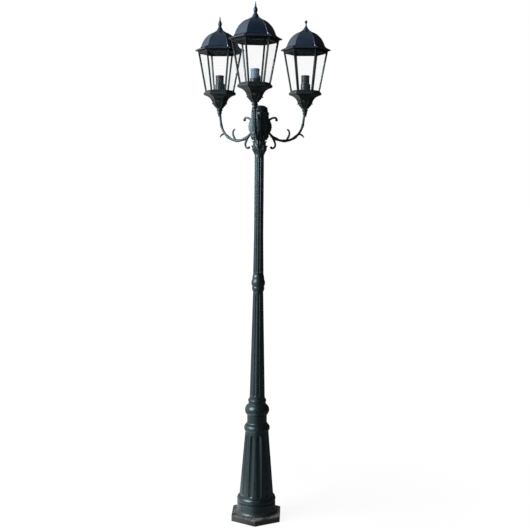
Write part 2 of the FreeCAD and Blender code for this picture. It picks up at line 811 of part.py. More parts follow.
def tray():
    """Six-sided tray with a sloping top, holding the cage and the lamp holder."""
    low = z_cup_top
    edge = low + 4
    body = six_sided(
        (0, low),
        [
            ("line", (bell_rim_r, low), (tray_corner_r, edge), (tray_corner_r, edge + tray_edge_h)),
            ("curve", (tray_seat_r + 2.5, z_cage - 2.5), (tray_seat_r, z_cage)),
            ("line", (0, z_cage)),
        ],
    )
    holes = [cylinder(tray_lead_hole_r, low - 1, z_cage + 1)]
    holes += [moved(cylinder(holder_fixing_r + fit_gap, z_cage - 9, z_cage + 1), x, 0) for x in fixing_places()]
    inner_r = bell_rim_r - cup_wall / flat
    top = z_cage - tray_top_t
    under = six_sided((0, low - 1), [("line", (inner_r, low - 1), (inner_r - 3, top), (0, top))])
    return body.cut(holes + [under])


def fixing_places():
    """The two places of the lamp holder's screws, either side of its axis."""
    return (-holder_fixing_reach, holder_fixing_reach)


def cage_corner(z):
    """The cage's corner radius at a height."""
    return cage_foot_r + (cage_top_r - cage_foot_r) * (z - z_cage) / cage_h


def frustum(inset, low, high):
    """The cage's slanting six-sided form between two heights, drawn in on each side."""
    corner = inset / flat
    low_r = cage_corner(low) - corner
    high_r = cage_corner(high) - corner
    return six_sided((0, low), [("line", (low_r, low), (high_r, high), (0, high))])


def side_panel(low, high, edge):
    """A slab through the front side, as wide as that side less an edge strip at each end."""
    wide_low = cage_corner(low) / 2 - edge
    wide_high = cage_corner(high) / 2 - edge
    points = [at(-wide_low, 0, low), at(wide_low, 0, low), at(wide_high, 0, high), at(-wide_high, 0, high)]
    face = Part.Face(Part.makePolygon(points + points[:1]))
    return moved(face.extrude(at(0, -2 * cage_top_r, 0)), 0, -cage_foot_r / 4)


def cage():
    """Six slanting bars between a foot rail and a fascia, with a lug for each roof screw."""
    shell = frustum(0, z_cage, z_roof).cut(frustum(cage_wall, z_cage - 1, z_roof + 1))
    window = side_panel(z_cage + cage_foot_rail_h, z_roof - fascia_h, cage_bar_w / 2)
    shell = shell.cut([turn(window, 60 * i) for i in range(6)])
    lugs = [on_screw_circle(cylinder(roof_boss_r, z_roof - screw_lug_h, z_roof), i) for i in range(3)]
    holes = [
        on_screw_circle(cylinder(roof_screw_r + fit_gap, z_roof - screw_lug_h - 1, z_roof + 1), i)
        for i in range(3)
    ]
    keep = frustum(0.2, z_cage, z_roof)
    return joined(shell, [lug.common(keep) for lug in lugs]).cut(holes)


def on_screw_circle(shape, i):
    """A piece on the Z axis moved to the place of roof screw i."""
    return turn(moved(shape, 0, -roof_screw_reach), roof_screw_azimuth + 120 * i)


def panes():
    """Six glass panes behind the cage's windows."""
    low = z_cage + cage_foot_rail_h / 2
    high = z_roof - screw_lug_h - 1
    sheet = frustum(cage_wall, low, high).cut(frustum(cage_wall + pane_t, low - 1, high + 1))
    inner_edge = (cage_wall + pane_t) * math.tan(math.radians(30)) + pane_side_gap
    pane = sheet.common(side_panel(low, high, inner_edge))
    return Part.makeCompound([turn(pane, 60 * i) for i in range(6)])


def holder_base(base_h):
    """Round base of the lamp holder, with a bore for the lead and two fixing holes."""
    top = z_cage + base_h
    body = cylinder(holder_base_r, z_cage, top)
    body = body.makeFillet(2.5, [e for e in body.Edges if e.CenterOfMass.z > top - 0.1])
    holes = [cylinder(holder_lead_hole_r, z_cage - 1, top + 1)]
    sunk = z_cage + holder_fixing_seat_h
    for x in fixing_places():
        holes.append(cylinder(holder_fixing_r + fit_gap, z_cage - 1, sunk + 1, x))
        holes.append(cylinder(holder_fixing_head_r + fit_gap, sunk, top + 1, x))
    return body.cut(holes)


def holder_body(base_h):
    """Sleeve of the lamp holder, with a deep bore for the threaded shell."""
    low = z_cage + base_h
    high = low + holder_body_h
    bore_r = socket_thread_r + socket_shell_t + fit_gap
    shape = turned(
        (holder_lead_hole_r, low),
        [
            ("line", (holder_body_r, low), (holder_body_r, high - 2)),
            ("arc", (holder_body_r - 0.6, high - 0.6), (holder_body_r - 2, high)),
            ("line", (bore_r, high), (bore_r, low + holder_floor_t), (holder_lead_hole_r, low + holder_floor_t)),
        ],
    )
    return shape


def socket_shell(base_h):
    """Threaded brass shell and centre contact inside the holder."""
    low = z_cage + base_h + holder_floor_t
    shell = tube(socket_thread_r + socket_shell_t, socket_thread_r, low, low + socket_shell_h)
    floor = tube(socket_thread_r + 0.5, holder_lead_hole_r + 3, low, low + 1.2)
    contact = cylinder(holder_lead_hole_r + 1.6, low, low + contact_h)
    return Part.makeCompound([shell.fuse(floor).removeSplitter(), contact])


def holder_screws():
    """Two pan-head screws that fix the holder to the tray."""
    seat = z_cage + holder_fixing_seat_h
    made = []
    for x in fixing_places():
        head = cylinder(holder_fixing_head_r, seat, seat + holder_fixing_head_h, x)
        made.append(cylinder(holder_fixing_r, z_cage - 8, seat, x).fuse(head))
    return Part.makeCompound(made)


def roof_steps(inset):
    """The roof's curve from its eave to its neck, drawn in by a wall's thickness."""
    shares = [(0.75, 0.147), (0.655, 0.365), (0.535, 0.59), (0.365, 0.78), (0.205, 0.888), (0.075, 0.947)]
    span = eave_r - roof_neck_r
    points = [(roof_neck_r + span * share - inset, z_dome + roof_dome_h * rise) for share, rise in shares]
    neck_r = max(roof_neck_r - inset, finial_stud_r + 1)
    return points, (neck_r, z_finial - inset * 0.8)


def roof():
    """Domed six-sided roof with a flared eave, screw bosses inside and a flat for the finial."""
    points, top = roof_steps(0)
    lip = eave_r - 2
    body = six_sided(
        (0, z_roof),
        [
            ("line", (lip, z_roof), (eave_r, z_roof + 1), (eave_r, z_dome)),
            ("curve", *points, top),
            ("line", (0, z_finial)),
        ],
    )
    inner_points, inner_top = roof_steps(roof_wall / flat)
    inner_points = inner_points[1:]
    hollow = six_sided(
        (0, z_roof - 1),
        [
            ("line", (roof_ledge_r, z_roof - 1), (roof_ledge_r, z_roof + 2)),
            ("line", (inner_points[0][0], inner_points[0][1])),
            ("curve", *inner_points[1:], inner_top),
            ("line", (0, inner_top[1])),
        ],
    )
    bosses = [on_screw_circle(cylinder(roof_boss_r, z_roof, z_roof + roof_boss_h), i) for i in range(3)]
    heads = []
    for i in range(3):
        heads.append(on_screw_circle(cylinder(roof_screw_r + fit_gap, z_roof - 1, z_roof + roof_boss_h + 9), i))
        seat = z_roof + roof_boss_h
        heads.append(on_screw_circle(cylinder(roof_screw_head_r + seat_gap, seat, seat + 40), i))
    shape = joined(body.cut(hollow), bosses).cut(heads)
    return shape.cut(cylinder(finial_stud_r + fit_gap, z_finial - 20, z_finial + 1))


def roof_screws():
    """Three pan-head screws that hold the roof on the cage."""
    seat = z_roof + roof_boss_h
    screw = cylinder(roof_screw_r, z_roof - screw_lug_h + 2, seat).fuse(
        cylinder(roof_screw_head_r, seat, seat + roof_screw_head_h)
    )
    return Part.makeCompound([on_screw_circle(screw, i) for i in range(3)])


def spike_finial():
    """Concave cone, a bulb and a long spike, on a stud."""
    z = z_finial
    h = finial_h
    body = turned(
        (0, z),
        [
            ("line", (roof_neck_r * flat, z), (roof_neck_r * flat, z + 1)),
            ("curve", (10.6, z + h * 0.2), (6.2, z + h * 0.34)),
            ("curve", (8.8, z + h * 0.52), (4.3, z + h * 0.68)),
            ("curve", (3.2, z + h * 0.8), (1.0, z + h)),
            ("line", (0, z + h)),
        ],
    )
    return body.fuse(cylinder(finial_stud_r, z - finial_stud_h, z + 1)).removeSplitter()


def ball_finial():
    """Concave cone and a thin stem with a small ball, on a stud."""
    z = z_finial
    h = short_finial_h
    body = turned(
        (0, z),
        [
            ("line", (roof_neck_r * flat, z), (roof_neck_r * flat, z + 1)),
            ("curve", (10.0, z + h * 0.24), (4.9, z + h * 0.42), (3.8, z + h * 0.72)),
            ("arc", (6.2, z + h * 0.86), (2.4, z + h * 0.98)),
            ("line", (0.8, z + h), (0, z + h)),
        ],
    )
    return body.fuse(cylinder(finial_stud_r, z - finial_stud_h, z + 1)).removeSplitter()


def splice():
    """Connector in the hub that joins the post cable to the three leads."""
    body = cylinder(splice_r, z_splice, z_splice + splice_h)
    return body.makeFillet(2.0, [e for e in body.Edges if e.CenterOfMass.z > z_splice + splice_h - 0.1])


def lead():
    """The lead of one arm: down from the splice, through the hub's wall and the arm, up into the holder."""
    start, end, inwards, upwards = arm_points()
    bend = start + inwards * ((start.x - lead_circle_r) / -inwards.x)
    drop = plane_path(
        [(lead_circle_r, z_splice), (lead_circle_r, bend.z), (start.x, start.z)], [lead_bend_r]
    )
    low = at(arm_arc_centre_reach, 0, arc_centre_z - arm_arc_r)
    meet = end + upwards * ((arm_reach - end.x) / upwards.x)
    rise = plane_path(
        [(end.x, end.z), (meet.x, meet.z), (arm_reach, z_cage + lead_end_rise)], [lead_bend_r * 2]
    )
    edges = list(drop.OrderedEdges) + [Part.Arc(start, low, end).toShape()] + list(rise.OrderedEdges)
    return swept(Part.Wire(edges), lead_r)


def terminal_bracket():
    """Bent strap that stands on the foot's web and carries the terminal block."""
    half = bracket_w / 2
    upright = box((-half, half), (bracket_reach, bracket_reach + bracket_t), (bracket_base(), bracket_top()))
    toe = box(
        (-half, half), (bracket_reach, bracket_reach + bracket_t + bracket_foot),
        (bracket_base(), bracket_base() + bracket_t),
    )
    shape = upright.fuse(toe).removeSplitter()
    for x in bracket_screw_places():
        hole = cylinder(small_screw_r + fit_gap, bracket_base() - 1, z_block, x, bracket_screw_reach())
        shape = shape.cut(hole)
    return shape


def bracket_base():
    """The level on which the bracket stands: the drum's floor."""
    return z_pedestal


def bracket_top():
    """The bracket's top edge."""
    return z_block + block_h


def bracket_screw_reach():
    """Distance of the bracket's screws from the axis."""
    return foot_cable_hole_r + small_head_r


def bracket_screw_places():
    """The two places of the bracket's screws along its width."""
    return (-bracket_w / 4, bracket_w / 4)


def bracket_screws():
    """Screws through the bracket's toe into the foot."""
    seat = bracket_base() + bracket_t
    made = []
    for x in bracket_screw_places():
        y = bracket_screw_reach()
        head = cylinder(small_head_r, seat, seat + small_head_h, x, y)
        made.append(cylinder(small_screw_r, seat - bracket_t - 6, seat, x, y).fuse(head))
    return Part.makeCompound(made)


def terminal_block():
    """Three-pole terminal block on the bracket, with its clamp holes."""
    half = block_w / 2
    body = box((-half, half), (bracket_reach - block_d, bracket_reach), (z_block, z_block + block_h))
    holes = []
    for i in (-1, 0, 1):
        x = i * block_w * 0.3
        holes.append(
            Part.makeCylinder(2.2, 5, at(x, bracket_reach - block_d - 1, z_block + block_h * 0.5), at(0, 1, 0))
        )
        holes.append(cylinder(2.0, z_block - 1, z_block + 6, x, bracket_reach - block_d / 2))
    return body.cut(holes)


def post_cable():
    """Cable from the terminal block up the middle of the post to the splice."""
    y = bracket_reach - block_d / 2
    low = z_block + block_h
    path = plane_path(
        [(y, low), (y, low + 60), (0, z_top_ring - 60), (0, z_splice)], [cable_bend_r, cable_bend_r]
    )
    return turn(swept(path, post_cable_r), 90)


def drilled_foot():
    """The foot with the holes of the bracket's screws."""
    shape = foot()
    for x in bracket_screw_places():
        hole = cylinder(small_screw_r + fit_gap, foot_band_h - 20, z_pedestal + 1, x, bracket_screw_reach())
        shape = shape.cut(hole)
    return shape


def save(name, shape):
    """Writes one node."""
    shape.exportStep("parts/" + name + ".step")


def build_post():
    """The fixed pieces: foot to hub, arms, joints and wiring."""
    pieces = {
        "foot_plate": drilled_foot(),
        "pedestal": pedestal(),
        "neck_casting": neck(),
        "lower_shaft": lower_shaft(),
        "shaft_coupling": coupling(),
        "upper_shaft": upper_shaft(),
        "capital": capital(),
        "arm_hub": arm_hub(),
        "hub_cap": hub_cap(),
        "arm_bolts": arm_bolts(),
        "joint_locknuts": joint_locknuts(),
        "lantern_nipples": lantern_nipples(),
        "lantern_locknuts": lantern_locknuts(),
        "wire_splice": splice(),
        "terminal_bracket": terminal_bracket(),
        "bracket_screws": bracket_screws(),
        "terminal_block": terminal_block(),
        "post_cable": post_cable(),
    }
    for key, shape in joint_nipples().items():
        pieces[key + "_nipple"] = shape
    one_arm = arm()
    one_lead = lead()
    for name, azimuth in arm_azimuths.items():
        pieces["arm_" + name] = turn(one_arm, azimuth - 90)
        pieces["arm_lead_" + name] = turn(one_lead, azimuth - 90)
    return pieces


def build_lanterns():
    """The pieces of the three lanterns, set on their arms."""
    shared = {
        "cup": cup(),
        "tray": tray(),
        "cage": cage(),
        "panes": panes(),
        "holder_screws": holder_screws(),
        "roof": roof(),
        "roof_screws": roof_screws(),
    }
    finials = {"front": spike_finial(), "left": spike_finial(), "right": ball_finial()}
    pieces = {}
    for name in arm_azimuths:
        for key, shape in shared.items():
            pieces[key + "_" + name] = on_arm(shape, name)
        base_h = holder_base_heights[name]
        pieces["holder_base_" + name] = on_arm(holder_base(base_h), name)
        pieces["holder_body_" + name] = on_arm(holder_body(base_h), name)
        pieces["socket_shell_" + name] = on_arm(socket_shell(base_h), name)
        pieces["finial_" + name] = on_arm(finials[name], name)
    return pieces


os.makedirs("parts", exist_ok=True)
for node, solid in {**build_post(), **build_lanterns()}.items():
    save(node, solid)
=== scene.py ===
import json
import math

import bpy
from mathutils import Matrix, Vector


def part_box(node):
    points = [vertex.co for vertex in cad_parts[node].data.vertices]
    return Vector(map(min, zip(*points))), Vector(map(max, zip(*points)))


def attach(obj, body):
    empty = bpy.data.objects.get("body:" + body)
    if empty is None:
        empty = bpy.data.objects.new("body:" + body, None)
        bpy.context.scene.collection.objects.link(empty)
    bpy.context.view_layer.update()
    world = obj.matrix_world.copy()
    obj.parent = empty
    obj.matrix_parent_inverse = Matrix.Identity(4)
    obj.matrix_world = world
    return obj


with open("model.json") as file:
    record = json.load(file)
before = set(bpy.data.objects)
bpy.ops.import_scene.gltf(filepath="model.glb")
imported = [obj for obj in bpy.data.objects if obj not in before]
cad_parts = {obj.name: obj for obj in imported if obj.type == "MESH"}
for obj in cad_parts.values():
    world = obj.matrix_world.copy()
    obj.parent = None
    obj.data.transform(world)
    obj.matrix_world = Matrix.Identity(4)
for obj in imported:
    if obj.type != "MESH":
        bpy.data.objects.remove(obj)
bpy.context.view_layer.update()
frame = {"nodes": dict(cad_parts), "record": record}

# The looks of a triple head garden lamp post: finishes for the cast pieces, cast ornament on the capital,
# hub, arms, bells and roofs, the lamp holders' mouldings, a pale floor, studio light and the camera. Metres.

# Degrees: where each arm points, counted from -Y, and how far each lantern is turned on its tube.
ARM_AZIMUTHS = {"front": 0.0, "left": -120.0, "right": 120.0}
LANTERN_YAWS = {"front": 11.3, "left": 1.3, "right": 0.5}


# ---------------------------------------------------------------------------------------------- camera

def photo_camera():
    """A camera at the photograph's place: measured distance, height, pitch and roll about the post."""
    yaw = math.radians(4.95)
    pitch = math.radians(5.42)
    roll = math.radians(0.55)
    place = Vector((0.0300, -4.045, 1.560))
    focal_px = 896.0
    image_px = 530.0
    right = Vector((1, 0, 0))
    ahead = Vector((0, math.cos(pitch), -math.sin(pitch)))
    up = Vector((0, math.sin(pitch), math.cos(pitch)))
    right_rolled = right * math.cos(roll) + up * math.sin(roll)
    up_rolled = up * math.cos(roll) - right * math.sin(roll)
    turn = Matrix.Rotation(yaw, 4, "Z")
    axes = Matrix((right_rolled, up_rolled, -ahead)).transposed().to_4x4()
    data = bpy.data.cameras.new("photo_camera")
    data.sensor_width = 36.0
    data.lens = focal_px / image_px * data.sensor_width
    data.clip_end = 200.0
    camera = bpy.data.objects.new("photo_camera", data)
    camera.matrix_world = turn @ Matrix.Translation(place) @ axes
    bpy.context.scene.collection.objects.link(camera)
    bpy.context.scene.camera = camera


# ------------------------------------------------------------------------------------------- materials

class Graph:
    """A material's node tree with short ways to add and join nodes."""

    def __init__(self, name):
        self.material = bpy.data.materials.new(name)
        self.material.use_nodes = True
        self.nodes = self.material.node_tree.nodes
        self.links = self.material.node_tree.links
        self.shader = self.nodes["Principled BSDF"]
        self.place = self.add("ShaderNodeTexCoord").outputs["Object"]

    def add(self, kind, **settings):
        node = self.nodes.new(kind)
        for key, value in settings.items():
            setattr(node, key, value)
        return node

    def join(self, source, target):
        self.links.new(source, target)

    def noise(self, scale, detail=3.0, rough=0.55):
        node = self.add("ShaderNodeTexNoise")
        node.inputs["Scale"].default_value = scale
        node.inputs["Detail"].default_value = detail
        node.inputs["Roughness"].default_value = rough
        self.join(self.place, node.inputs["Vector"])
        return node.outputs["Fac"]

    def spread(self, value, low, high, to_low=0.0, to_high=1.0):
        node = self.add("ShaderNodeMapRange")
        node.inputs["From Min"].default_value = low
        node.inputs["From Max"].default_value = high
        node.inputs["To Min"].default_value = to_low
        node.inputs["To Max"].default_value = to_high
        self.join(value, node.inputs["Value"])
        return node.outputs["Result"]

    def upward_part(self, vector):
        """A vector's Z."""
        parts = self.add("ShaderNodeSeparateXYZ")
        self.join(vector, parts.inputs[0])
        return parts.outputs["Z"]

    def maths(self, operation, first, second):
        node = self.add("ShaderNodeMath", operation=operation)
        for socket, value in zip(node.inputs, (first, second)):
            if isinstance(value, (int, float)):
                socket.default_value = value
            else:
                self.join(value, socket)
        return node.outputs[0]

    def mix(self, amount, first, second):
        node = self.add("ShaderNodeMix", data_type="RGBA")
        self.join(amount, node.inputs["Factor"])
        for socket, value in ((node.inputs[6], first), (node.inputs[7], second)):
            if isinstance(value, tuple):
                socket.default_value = (*value, 1.0)
            else:
                self.join(value, socket)
        return node.outputs[2]

    def edges(self, radius):
        """A mask that is 1 on sharp outer and inner edges, and the rounded normal it comes from."""
        bevel = self.add("ShaderNodeBevel", samples=4)
        bevel.inputs["Radius"].default_value = radius
        flat = self.add("ShaderNodeNewGeometry").outputs["Normal"]
        dot = self.add("ShaderNodeVectorMath", operation="DOT_PRODUCT")
        self.join(bevel.outputs["Normal"], dot.inputs[0])
        self.join(flat, dot.inputs[1])
        return self.spread(dot.outputs["Value"], 0.995, 0.93), bevel.outputs["Normal"]

    def hollows(self, distance):
        """A mask that is 1 deep in grooves and corners, where the colour is darkened as painted shade (and
        cast paint is rougher).
        """
        node = self.add("ShaderNodeAmbientOcclusion", samples=4)
        node.inputs["Distance"].default_value = distance
        return self.spread(node.outputs["AO"], 0.75, 0.25)

    def bump(self, height, strength, distance, normal=None):
        node = self.add("ShaderNodeBump")
        node.inputs["Strength"].default_value = strength
        node.inputs["Distance"].default_value = distance
        self.join(height, node.inputs["Height"])
        if normal is not None:
            self.join(normal, node.inputs["Normal"])
        return node.outputs["Normal"]


def cast_paint(name, base, bloom, worn, hollow_shade, rough, sheen, wear_share=0.8, underside_shade=None, band=None,
               index=1.5, shaded_gloss_share=0.35, eave=None):
    """Satin paint on a sand casting: mottled colour, paler worn edges, rougher hollows with painted shade, a
    faint grain.

    Options: underside is a duller colour and a weaker gloss where the surface faces down, as painted shade;
    eave is (colour, from height, to height) for a painted shadow below a roof; band is (colour, rim colour,
    top height, rim radius) for a scuffed foot whose pale top rim is partly wear and partly a painted
    highlight.
    """
    g = Graph(name)
    broad = g.spread(g.noise(6.0, 4.0), 0.38, 0.68)
    fine = g.spread(g.noise(120.0, 5.0, 0.65), 0.42, 0.74)
    mottled = g.mix(g.maths("MULTIPLY", broad, 0.6), base, tuple(c * 1.5 for c in base))
    mottled = g.mix(g.maths("MULTIPLY", fine, 0.45), mottled, bloom)
    height = g.upward_part(g.place)
    upness = g.upward_part(g.add("ShaderNodeNewGeometry").outputs["Normal"])
    # Painted shade: where the surface faces down, the underside colour and a weaker gloss.
    if underside_shade:
        mottled = g.mix(g.spread(upness, -0.15, -0.6), mottled, underside_shade)
        gloss = g.spread(upness, -0.1, -0.55, 1.0, shaded_gloss_share)
        if eave:
            # Painted shadow under the roof: darker colour and weaker gloss between two heights.
            shadow_colour, low_z, high_z = eave
            eave_shadow = g.spread(height, low_z, high_z)
            mottled = g.mix(eave_shadow, mottled, shadow_colour)
            gloss = g.maths("MULTIPLY", gloss, g.spread(eave_shadow, 0.0, 1.0, 1.0, shaded_gloss_share))
        g.join(gloss, g.shader.inputs["Specular IOR Level"])
    if band:
        dull, rim, top_z, rim_r = band
        patchy = g.noise(30.0, 5.0, 0.7)
        scuffed = g.mix(g.spread(patchy, 0.35, 0.7), dull, tuple(c * 2.2 for c in dull))
        upright = g.spread(upness, 0.8, 0.4)
        below_top = g.spread(height, top_z + 0.0030, top_z + 0.0015)
        mottled = g.mix(g.maths("MULTIPLY", upright, below_top), mottled, scuffed)
        # A pale rim along the top of the foot plate's side: partly worn paint, partly a painted highlight.
        reach = g.add("ShaderNodeVectorMath", operation="LENGTH")
        g.join(g.place, reach.inputs[0])
        outer = g.spread(reach.outputs["Value"], rim_r - 0.0060, rim_r + 0.0020)
        near_top = g.spread(height, top_z - 0.0085, top_z - 0.0030)
        worn_through = g.spread(patchy, 0.42, 0.58, 0.15, 1.0)
        worn_and_highlit_rim = g.maths("MULTIPLY", g.maths("MULTIPLY", near_top, outer), worn_through)
        mottled = g.mix(worn_and_highlit_rim, mottled, rim)
    edge, rounded = g.edges(0.0013)
    wear = g.maths("MULTIPLY", edge, g.spread(g.noise(48.0, 4.0), 0.38, 0.62, 0.2, wear_share))
    colour = g.mix(wear, mottled, worn)
    # Painted shade: the colour darkens towards the hollow colour deep in grooves and corners.
    deep = g.hollows(0.012)
    colour = g.mix(g.maths("MULTIPLY", deep, 0.8), colour, hollow_shade)
    g.join(colour, g.shader.inputs["Base Color"])
    patches = g.spread(g.noise(22.0, 4.0), 0.3, 0.7, rough - 0.07, rough + 0.1)
    g.join(g.maths("ADD", patches, g.maths("MULTIPLY", deep, 0.25)), g.shader.inputs["Roughness"])
    grain = g.bump(g.noise(560.0, 3.0, 0.6), 0.25, 0.0004, rounded)
    dents = g.bump(g.noise(64.0, 2.0), 0.18, 0.0018, grain)
    g.join(dents, g.shader.inputs["Normal"])
    g.shader.inputs["Specular IOR Level"].default_value = 1.0
    g.shader.inputs["IOR"].default_value = index
    g.shader.inputs["Specular Tint"].default_value = (*sheen, 1.0)
    return g.material


def clear_glass():
    """Flat clear glass: nearly invisible face on, a soft sheen at a grazing angle, faint dust in patches."""
    g = Graph("clear_glass")
    g.shader.inputs["Base Color"].default_value = (0.42, 0.48, 0.48, 1.0)
    glance = g.add("ShaderNodeLayerWeight").outputs["Facing"]
    glance.node.inputs["Blend"].default_value = 0.28
    sheen = g.spread(glance, 0.35, 1.0, 0.015, 0.38)
    dust = g.spread(g.noise(38.0, 6.0, 0.7), 0.5, 0.85, 0.0, 0.03)
    g.join(g.maths("ADD", sheen, dust), g.shader.inputs["Alpha"])
    g.join(g.spread(g.noise(22.0), 0.3, 0.7, 0.02, 0.09), g.shader.inputs["Roughness"])
    g.join(g.bump(g.noise(9.0, 2.0), 0.05, 0.002), g.shader.inputs["Normal"])
    return g.material


def moulded(name, base, rough):
    """Moulded plastic with a fine spark grain, a little dust and painted shade in its hollows."""
    g = Graph(name)
    tint = g.spread(g.noise(60.0, 4.0), 0.35, 0.7, 0.0, 0.35)
    colour = g.mix(tint, base, tuple(min(1.0, c * 1.3 + 0.003) for c in base))
    # Painted shade: the colour darkens deep in hollows.
    deep = g.hollows(0.006)
    colour = g.mix(g.maths("MULTIPLY", deep, 0.6), colour, tuple(c * 0.35 for c in base))
    g.join(colour, g.shader.inputs["Base Color"])
    g.join(g.spread(g.noise(90.0), 0.3, 0.7, rough - 0.06, rough + 0.08), g.shader.inputs["Roughness"])
    _, rounded = g.edges(0.0006)
    g.join(g.bump(g.noise(1600.0, 2.0), 0.12, 0.0002, rounded), g.shader.inputs["Normal"])
    return g.material


def bare_metal(name, base, stain, rough):
    """Plated or bare metal with stains and fine turning marks."""
    g = Graph(name)
    blotch = g.spread(g.noise(90.0, 5.0, 0.65), 0.45, 0.75, 0.0, 0.7)
    g.join(g.mix(blotch, base, stain), g.shader.inputs["Base Color"])
    g.shader.inputs["Metallic"].default_value = 1.0
    g.join(g.spread(g.noise(200.0, 4.0), 0.3, 0.7, rough - 0.08, rough + 0.15), g.shader.inputs["Roughness"])
    _, rounded = g.edges(0.0005)
    g.join(g.bump(g.noise(900.0, 2.0), 0.15, 0.0002, rounded), g.shader.inputs["Normal"])
    return g.material


def make_materials():
    """One material for each of the record's slots."""
    return {
        "post_paint": cast_paint(
            "post_paint", base=(0.0042, 0.0074, 0.0076), bloom=(0.012, 0.021, 0.0225),
            worn=(0.060, 0.090, 0.092), hollow_shade=(0.0022, 0.0036, 0.0036), rough=0.30,
            sheen=(0.62, 0.88, 1.0), wear_share=0.7
        ),
        "foot_paint": cast_paint(
            "foot_paint", base=(0.0060, 0.0085, 0.0085), bloom=(0.020, 0.028, 0.028),
            # The foot's pale worn edges and pale rim colour are partly wear and partly a painted highlight.
            worn=(0.30, 0.31, 0.30), hollow_shade=(0.0040, 0.0040, 0.0038), rough=0.34,
            sheen=(0.80, 0.94, 1.0), wear_share=1.0,
            band=((0.022, 0.0165, 0.0135), (0.230, 0.245, 0.236), 0.0280, 0.1060)
        ),
        "lantern_paint": cast_paint(
            "lantern_paint", base=(0.0044, 0.0078, 0.0080), bloom=(0.014, 0.023, 0.022),
            worn=(0.090, 0.130, 0.125), hollow_shade=(0.0022, 0.0034, 0.0030), rough=0.32,
            # Painted shade on the lantern's down-facing surfaces: an olive-brown tone and weaker gloss.
            sheen=(0.62, 0.88, 1.0), underside_shade=(0.0085, 0.0072, 0.0036),
            # Painted shadow under the roof: near-black paint at the top of the cage.
            eave=((0.0030, 0.0029, 0.0030), 2.085, 2.130)
        ),
        "roof_paint": cast_paint(
            "roof_paint", base=(0.0032, 0.0080, 0.0210), bloom=(0.008, 0.018, 0.037),
            worn=(0.060, 0.085, 0.125), hollow_shade=(0.0022, 0.0036, 0.0070), rough=0.33,
            # Painted shade on the roof's down-facing surfaces: near-black colour and a much weaker gloss.
            sheen=(0.50, 0.72, 1.0), underside_shade=(0.0030, 0.0028, 0.0028), index=1.6, shaded_gloss_share=0.15
        ),
        "clear_glass": clear_glass(),
        "holder_plastic": moulded("holder_plastic", (0.014, 0.033, 0.050), 0.38),
        "holder_pale": moulded("holder_pale", (0.18, 0.27, 0.40), 0.45),
        "brass": bare_metal("brass", (0.70, 0.48, 0.20), (0.30, 0.20, 0.10), 0.30),
        "zinc_steel": bare_metal("zinc_steel", (0.58, 0.60, 0.62), (0.30, 0.30, 0.28), 0.32),
        "white_plastic": moulded("white_plastic", (0.72, 0.72, 0.68), 0.40),
        "cable_rubber": moulded("cable_rubber", (0.020, 0.020, 0.020), 0.60),
    }


def dress_nodes(materials):
    """Gives each CAD node the material of its slot."""
    for row in frame["record"]["subparts"]:
        mesh = frame["nodes"][row["node"]].data
        mesh.materials.clear()
        mesh.materials.append(materials[row["material_slot"]])


# ---------------------------------------------------------------------------------------- mesh helpers

def outwards(azimuth, reach=0.0, height=0.0):
    """Takes a part whose +X points outwards to an azimuth, a reach and a height."""
    way = math.radians(azimuth - 90.0)
    place = Matrix.Translation((reach * math.cos(way), reach * math.sin(way), height))
    return place @ Matrix.Rotation(way, 4, "Z")


def in_lantern(name):
    """Takes a part drawn about the Z axis, first flat side towards -Y, to its place in a lantern."""
    foot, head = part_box("socket_shell_" + name)
    middle = (foot + head) / 2
    yaw = Matrix.Rotation(math.radians(LANTERN_YAWS[name]), 4, "Z")
    return Matrix.Translation((middle.x, middle.y, 0.0)) @ yaw


def piece(name, parts, materials, body, slot):
    """One smooth object out of (points, faces) parts, riding on a body."""
    points = []
    faces = []
    for part_points, part_faces in parts:
        start = len(points)
        points += [tuple(p) for p in part_points]
        faces += [tuple(start + i for i in face) for face in part_faces]
    mesh = bpy.data.meshes.new(name)
    mesh.from_pydata(points, [], faces)
    mesh.validate()
    mesh.update()
    mesh.polygons.foreach_set("use_smooth", [True] * len(mesh.polygons))
    mesh.materials.append(materials[slot])
    made = bpy.data.objects.new(name, mesh)
    bpy.context.scene.collection.objects.link(made)
    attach(made, body)


def placed(part, matrix):
    """A (points, faces) part moved by a matrix."""
    points, faces = part
    return [matrix @ Vector(p) for p in points], faces


def lantern_piece(kind, name, parts, materials, body, slot):
    """One object out of parts drawn about the Z axis, put in its lantern and riding on its body."""
    place = in_lantern(name)
    piece(kind + "_" + name, [placed(p, place) for p in parts], materials, body + "_" + name, slot)


def angles(count):
    """Even angles round a full turn."""
    return [2 * math.pi * j / count for j in range(count)]


def rings_to_part(rings):
    """Joins equal rings of points into a tube, with its ends capped."""
    count = len(rings[0])
    points = [p for ring in rings for p in ring]
    faces = []
    for row in range(len(rings) - 1):
        for i in range(count):
            after = (i + 1) % count
            low = row * count
            high = low + count
            faces.append((low + i, low + after, high + after, high + i))
    faces.append(tuple(reversed(range(count))))
    faces.append(tuple(range((len(rings) - 1) * count, len(rings) * count)))
    return points, faces


def smooth_line(points, steps):
    """Points on a smooth curve through the given ones."""
    line = []
    ends = [points[0] * 2 - points[1]] + list(points) + [points[-1] * 2 - points[-2]]
    for a, b, c, d in zip(ends, ends[1:], ends[2:], ends[3:]):
        for i in range(steps):
            t = i / steps
            square = (2 * a - 5 * b + 4 * c - d) * t * t
            cube = (3 * b - a - 3 * c + d) * t ** 3
            line.append(0.5 * ((2 * b) + (c - a) * t + square + cube))
    line.append(points[-1].copy())
    return line


